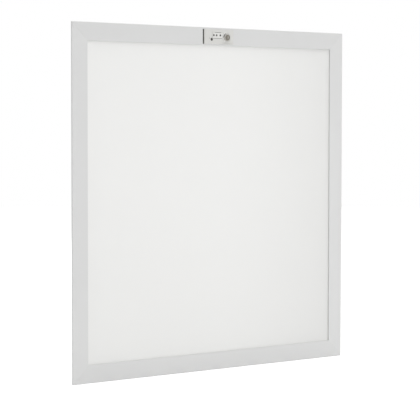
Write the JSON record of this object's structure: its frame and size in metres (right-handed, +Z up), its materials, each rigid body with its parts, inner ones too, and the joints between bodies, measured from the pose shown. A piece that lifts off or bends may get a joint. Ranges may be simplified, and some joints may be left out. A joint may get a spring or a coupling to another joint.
{
  "type": "recessed led panel light",
  "caption": "Square white lay-in ceiling light panel with an opal diffuser, a presence sensor let into the top rail and a driver on the back.",
  "frame": {"origin": "middle of the frame's front plane, level with the ceiling grid that it lies in", "axes": "+X to the right and +Z up as seen facing the light side, +Y into the depth behind the frame, so the panel shines along -Y"},
  "size_m": [0.595, 0.0604, 0.595],
  "materials": {
    "frame_coat": "white powder coat with a fine orange peel",
    "opal": "satin opal sheet",
    "tray_coat": "white coated steel sheet",
    "seal_foam": "closed-cell foam",
    "reflector_white": "matt white film",
    "bar_white": "white solder mask on aluminium board",
    "lead_sheath": "satin cable sheath",
    "black_rubber": "matt moulded rubber",
    "sensor_white": "fine spark-eroded moulding",
    "dark_plastic": "matt moulding",
    "smoked_plastic": "infrared-passing tint",
    "button_dark": "matt moulding",
    "lens_smoke": "smoked moulded lens",
    "nickel_can": "plated can",
    "board_green": "solder mask",
    "spring_steel": "bright spring strip",
    "driver_white": "textured moulding",
    "ferrite": "sintered core with taped winding",
    "capacitor_can": "sleeved can",
    "zinc_steel": "bright zinc plate",
    "wire_steel": "drawn wire, zinc plated",
    "terminal_grey": "moulded polyamide",
    "release_orange": "moulded polyamide",
    "clip_nylon": "moulded nylon"
  },
  "bodies": {
    "panel": {"frame_rail_top": "frame_coat", "frame_rail_right": "frame_coat", "frame_rail_bottom": "frame_coat", "frame_rail_left": "frame_coat", "diffuser": "opal", "diffuser_seal": "seal_foam", "rear_tray": "tray_coat", "reflector_liner": "reflector_white", "lead_grommet": "black_rubber", "bar_bus_lead": "lead_sheath", "sensor_fascia": "sensor_white", "port_strip": "sensor_white", "sensor_box": "dark_plastic", "sensor_box_cover": "dark_plastic", "status_light_pipe": "smoked_plastic", "remote_receiver_window": "smoked_plastic", "daylight_window": "smoked_plastic", "button_switch": "dark_plastic", "sensor_lens": "lens_smoke", "motion_detector": "nickel_can", "sensor_board": "board_green", "spring_clip_left": "spring_steel", "spring_clip_right": "spring_steel", "driver_base": "driver_white", "driver_cover": "driver_white", "driver_board": "board_green", "driver_transformer": "ferrite", "driver_capacitor": "capacitor_can", "driver_screw_1": "zinc_steel", "driver_screw_2": "zinc_steel", "mains_terminal": "terminal_grey", "hinge_pin": "zinc_steel", "cable_gland": "black_rubber", "dc_lead": "lead_sheath", "dc_lead_clip": "clip_nylon", "sensor_lead": "lead_sheath", "sensor_lead_clip": "clip_nylon", "loop_bracket_upper": "zinc_steel", "loop_bracket_lower": "zinc_steel", "corner_key_top_left": "zinc_steel", "tray_screw_top_left": "zinc_steel", "corner_key_top_right": "zinc_steel", "tray_screw_top_right": "zinc_steel", "corner_key_bottom_left": "zinc_steel", "tray_screw_bottom_left": "zinc_steel", "corner_key_bottom_right": "zinc_steel", "tray_screw_bottom_right": "zinc_steel", "led_bar_1": "bar_white", "led_bar_2": "bar_white", "led_bar_3": "bar_white", "led_bar_4": "bar_white", "led_bar_5": "bar_white"},
    "pairing_button": {"pairing_button": "button_dark"},
    "terminal_lid": {"terminal_cover": "driver_white"},
    "live_release": {"release_button_live": "release_orange"},
    "neutral_release": {"release_button_neutral": "release_orange"},
    "earth_release": {"release_button_earth": "release_orange"},
    "upper_loop": {"safety_loop_upper": "wire_steel"},
    "lower_loop": {"safety_loop_lower": "wire_steel"}
  },
  "joints": [
    {"name": "pairing_button_press", "type": "slide", "parent": "panel", "child": "pairing_button", "axis": [0, 1, 0], "range_m": [0, 0.0008], "stiffness_N_per_m": 1500},
    {"name": "live_release_press", "type": "slide", "parent": "panel", "child": "live_release", "axis": [0, -1, 0], "range_m": [0, 0.0015], "stiffness_N_per_m": 2500},
    {"name": "neutral_release_press", "type": "slide", "parent": "panel", "child": "neutral_release", "axis": [0, -1, 0], "range_m": [0, 0.0015], "stiffness_N_per_m": 2500},
    {"name": "earth_release_press", "type": "slide", "parent": "panel", "child": "earth_release", "axis": [0, -1, 0], "range_m": [0, 0.0015], "stiffness_N_per_m": 2500},
    {"name": "terminal_cover_swing", "type": "hinge", "parent": "panel", "child": "terminal_lid", "pos_m": [-0.095, 0.0544, 0.1854], "axis": [1, 0, 0], "range_deg": [0, 105]},
    {"name": "upper_loop_swing", "type": "hinge", "parent": "panel", "child": "upper_loop", "pos_m": [-0.2, 0.0372, 0.205], "axis": [1, 0, 0], "range_deg": [-8, 170]},
    {"name": "lower_loop_swing", "type": "hinge", "parent": "panel", "child": "lower_loop", "pos_m": [0.2, 0.0372, -0.205], "axis": [1, 0, 0], "range_deg": [-8, 170]}
  ]
}
